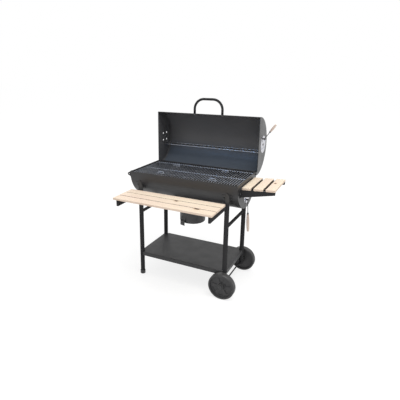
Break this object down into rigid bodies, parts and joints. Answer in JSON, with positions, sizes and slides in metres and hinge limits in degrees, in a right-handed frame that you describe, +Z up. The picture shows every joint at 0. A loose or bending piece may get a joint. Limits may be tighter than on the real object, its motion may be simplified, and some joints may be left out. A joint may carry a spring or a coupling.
{
  "type": "barrel charcoal grill",
  "caption": "Barrel charcoal grill on a wheeled cart, lid open, with wooden front and side shelves, lift-out wire grids, lever vents and a slide-out ash bucket.",
  "frame": {"origin": "on the floor, under the middle of the whole object's box", "axes": "+X along the barrel towards the side shelf and wheels, -Y towards the cook at the front, +Z up"},
  "size_m": [1.0474, 0.8779, 1.2954],
  "materials": {
    "black_paint": "semi-gloss black heat paint",
    "wood": "pale planed pine",
    "chrome_wire": "bright plated wire",
    "chrome_plate": "bright plated sheet",
    "wheel_plastic": "moulded, fine grain",
    "zinc_steel": "zinc plated",
    "grate_iron": "bare, heat stained",
    "knob_plastic": "black"
  },
  "bodies": {
    "cart": {"bowl_shell": "black_paint", "bowl_left_end": "black_paint", "bowl_right_end": "black_paint", "grid_ledges": "black_paint", "grate_ledges": "black_paint", "ash_chute": "black_paint", "bucket_rails": "black_paint", "front_left_leg": "black_paint", "front_right_leg": "black_paint", "rear_left_leg": "black_paint", "rear_right_leg": "black_paint", "leg_saddles": "black_paint", "side_rails": "black_paint", "lower_shelf": "black_paint", "front_left_arm": "black_paint", "front_right_arm": "black_paint", "side_front_arm": "black_paint", "side_rear_arm": "black_paint", "lid_stops": "black_paint", "corner_hook": "black_paint", "front_board_outer": "wood", "front_board_middle": "wood", "front_board_inner": "wood", "side_board_inner": "wood", "side_board_middle": "wood", "side_board_outer": "wood", "leg_feet": "wheel_plastic", "hub_caps": "wheel_plastic", "leg_bolts": "zinc_steel", "plate_bolts": "zinc_steel", "board_screws": "zinc_steel", "pivot_bolts": "zinc_steel", "pivot_spacers": "zinc_steel", "axle": "zinc_steel", "axle_washers": "zinc_steel", "bowl_vent_rivet": "zinc_steel"},
    "lid": {"lid_shell": "black_paint", "lid_left_end": "black_paint", "lid_right_end": "black_paint", "lid_handle": "black_paint", "handle_screws": "zinc_steel", "rack_pins": "zinc_steel", "lid_vent_rivets": "zinc_steel"},
    "warming_rack": {"warming_rack": "chrome_wire"},
    "left_grid": {"left_cooking_grid": "chrome_wire"},
    "right_grid": {"right_cooking_grid": "chrome_wire"},
    "grate": {"charcoal_grate": "grate_iron"},
    "bucket": {"ash_bucket": "black_paint", "bucket_pull": "black_paint"},
    "front_wheel": {"front_wheel": "wheel_plastic"},
    "rear_wheel": {"rear_wheel": "wheel_plastic"},
    "left_vent": {"lid_left_damper": "chrome_plate", "lid_left_knob": "knob_plastic"},
    "right_vent": {"lid_right_damper": "chrome_plate", "lid_right_lever": "knob_plastic", "lid_right_grip": "wood"},
    "bowl_vent": {"bowl_right_damper": "chrome_plate", "bowl_right_lever": "knob_plastic", "bowl_right_grip": "wood"}
  },
  "joints": [
    {"name": "lid_hinge", "type": "hinge", "parent": "cart", "child": "lid", "pos_m": [-0.09574, 0.218, 0.786], "axis": [1, 0, 0], "range_deg": [0, 90]},
    {"name": "rack_pivot", "type": "hinge", "parent": "lid", "child": "warming_rack", "pos_m": [-0.09574, 0.377, 0.926], "axis": [1, 0, 0], "range_deg": [-90, 0]},
    {"name": "left_grid_lift", "type": "slide", "parent": "cart", "child": "left_grid", "axis": [0, 0, 1], "range_m": [0, 0.06]},
    {"name": "right_grid_lift", "type": "slide", "parent": "cart", "child": "right_grid", "axis": [0, 0, 1], "range_m": [0, 0.06]},
    {"name": "grate_lift", "type": "slide", "parent": "cart", "child": "grate", "axis": [0, 0, 1], "range_m": [0, 0.06]},
    {"name": "bucket_slide", "type": "slide", "parent": "cart", "child": "bucket", "axis": [0, -1, 0], "range_m": [0, 0.22]},
    {"name": "front_wheel_spin", "type": "hinge", "parent": "cart", "child": "front_wheel", "pos_m": [0.23226, -0.2, 0.0925], "axis": [0, 1, 0], "continuous": true},
    {"name": "rear_wheel_spin", "type": "hinge", "parent": "cart", "child": "rear_wheel", "pos_m": [0.23226, 0.254, 0.0925], "axis": [0, 1, 0], "continuous": true},
    {"name": "left_vent_turn", "type": "hinge", "parent": "lid", "child": "left_vent", "pos_m": [-0.50174, 0.342, 0.977], "axis": [1, 0, 0], "range_deg": [0, 45]},
    {"name": "right_vent_turn", "type": "hinge", "parent": "lid", "child": "right_vent", "pos_m": [0.31026, 0.342, 0.977], "axis": [1, 0, 0], "range_deg": [0, 45]},
    {"name": "bowl_vent_turn", "type": "hinge", "parent": "cart", "child": "bowl_vent", "pos_m": [0.30526, 0.027, 0.69], "axis": [1, 0, 0], "range_deg": [0, 45]}
  ],
  "couplings": [
    {"joint": "rack_pivot", "follows": "lid_hinge", "ratio": -1}
  ]
}
